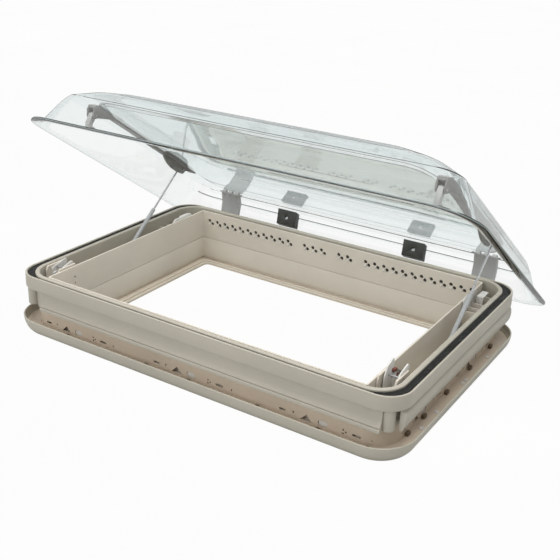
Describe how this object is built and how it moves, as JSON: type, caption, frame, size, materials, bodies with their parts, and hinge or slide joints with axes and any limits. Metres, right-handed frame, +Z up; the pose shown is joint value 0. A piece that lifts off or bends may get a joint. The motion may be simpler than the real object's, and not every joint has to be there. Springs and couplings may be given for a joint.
{
  "type": "hinged roof hatch",
  "caption": "Rectangular roof hatch with a clear domed double-pane lid, hinged at the back and propped on telescopic stays above a beige clamp-in frame.",
  "frame": {"origin": "centre of the whole object's box, on the plane of the ceiling frame's underside", "axes": "+X along the lid hinge to the right, +Y towards the hinge side, +Z up"},
  "size_m": [0.858, 0.58, 0.4217],
  "materials": {
    "beige_plastic": "warm beige moulded plastic, fine satin texture",
    "grey_plastic": "mid grey moulded plastic",
    "black_rubber": "black matt rubber",
    "bright_steel": "bright plated steel",
    "clear_acrylic": "clear polished acrylic with a faint green tint",
    "white_plastic": "off-white nylon"
  },
  "bodies": {
    "frame": {"catch_block_left": "beige_plastic", "catch_block_right": "beige_plastic", "ceiling_frame": "beige_plastic", "frame_screw_1": "bright_steel", "frame_screw_2": "bright_steel", "frame_screw_3": "bright_steel", "frame_screw_4": "bright_steel", "frame_screw_5": "bright_steel", "frame_screw_6": "bright_steel", "hinge_base_left": "grey_plastic", "hinge_base_right": "grey_plastic", "hinge_pin_left": "bright_steel", "hinge_pin_right": "bright_steel", "inner_liner": "beige_plastic", "outer_frame": "beige_plastic", "rail_clip_left": "white_plastic", "rail_clip_right": "white_plastic", "rim_seal": "black_rubber", "stay_foot_left": "grey_plastic", "stay_foot_pin_left": "bright_steel", "stay_foot_pin_right": "bright_steel", "stay_foot_right": "grey_plastic", "striker_bar_left": "bright_steel", "striker_bar_right": "bright_steel"},
    "lid": {"block_screw_left": "bright_steel", "block_screw_right": "bright_steel", "hinge_arm_left": "grey_plastic", "hinge_arm_right": "grey_plastic", "knuckle_pin_left": "bright_steel", "knuckle_pin_right": "bright_steel", "latch_pin_left": "bright_steel", "latch_pin_right": "bright_steel", "lid_inner_pane": "clear_acrylic", "lid_outer_pane": "clear_acrylic", "rear_block_left": "black_rubber", "rear_block_right": "black_rubber", "side_bracket_left": "grey_plastic", "side_bracket_right": "grey_plastic", "stay_stud_left": "bright_steel", "stay_stud_right": "bright_steel"},
    "latch_left": {"latch_hook_left": "grey_plastic"},
    "tube_left": {"stay_tube_left": "white_plastic"},
    "rod_left": {"stay_rod_left": "bright_steel"},
    "latch_right": {"latch_hook_right": "grey_plastic"},
    "tube_right": {"stay_tube_right": "white_plastic"},
    "rod_right": {"stay_rod_right": "bright_steel"}
  },
  "joints": [
    {"name": "lid_hinge", "type": "hinge", "parent": "frame", "child": "lid", "pos_m": [0, 0.247, 0.065], "axis": [-1, 0, 0], "range_deg": [-33.7, 0]},
    {"name": "latch_turn_left", "type": "hinge", "parent": "lid", "child": "latch_left", "pos_m": [-0.339, -0.10379, 0.37347], "axis": [-1, 0, 0], "range_deg": [0, 30], "stiffness_Nm_per_rad": 0.05, "springref_deg": -17.19},
    {"name": "stay_pivot_left", "type": "hinge", "parent": "frame", "child": "tube_left", "pos_m": [-0.345, -0.024, 0.075], "axis": [1, 0, 0], "range_deg": [-9.9, 0]},
    {"name": "stay_slide_left", "type": "slide", "parent": "tube_left", "child": "rod_left", "axis": [0, 0.7779, 0.6284], "range_m": [-0.1001, 0]},
    {"name": "latch_turn_right", "type": "hinge", "parent": "lid", "child": "latch_right", "pos_m": [0.339, -0.10379, 0.37347], "axis": [-1, 0, 0], "range_deg": [0, 30], "stiffness_Nm_per_rad": 0.05, "springref_deg": -17.19},
    {"name": "stay_pivot_right", "type": "hinge", "parent": "frame", "child": "tube_right", "pos_m": [0.345, -0.024, 0.075], "axis": [1, 0, 0], "range_deg": [-9.9, 0]},
    {"name": "stay_slide_right", "type": "slide", "parent": "tube_right", "child": "rod_right", "axis": [0, 0.7779, 0.6284], "range_m": [-0.1001, 0]}
  ],
  "couplings": [
    {"joint": "stay_pivot_left", "follows": "lid_hinge", "ratio": 0.29173},
    {"joint": "stay_slide_left", "follows": "lid_hinge", "m_per_rad": 0.1697},
    {"joint": "stay_pivot_right", "follows": "lid_hinge", "ratio": 0.29173},
    {"joint": "stay_slide_right", "follows": "lid_hinge", "m_per_rad": 0.1697}
  ]
}
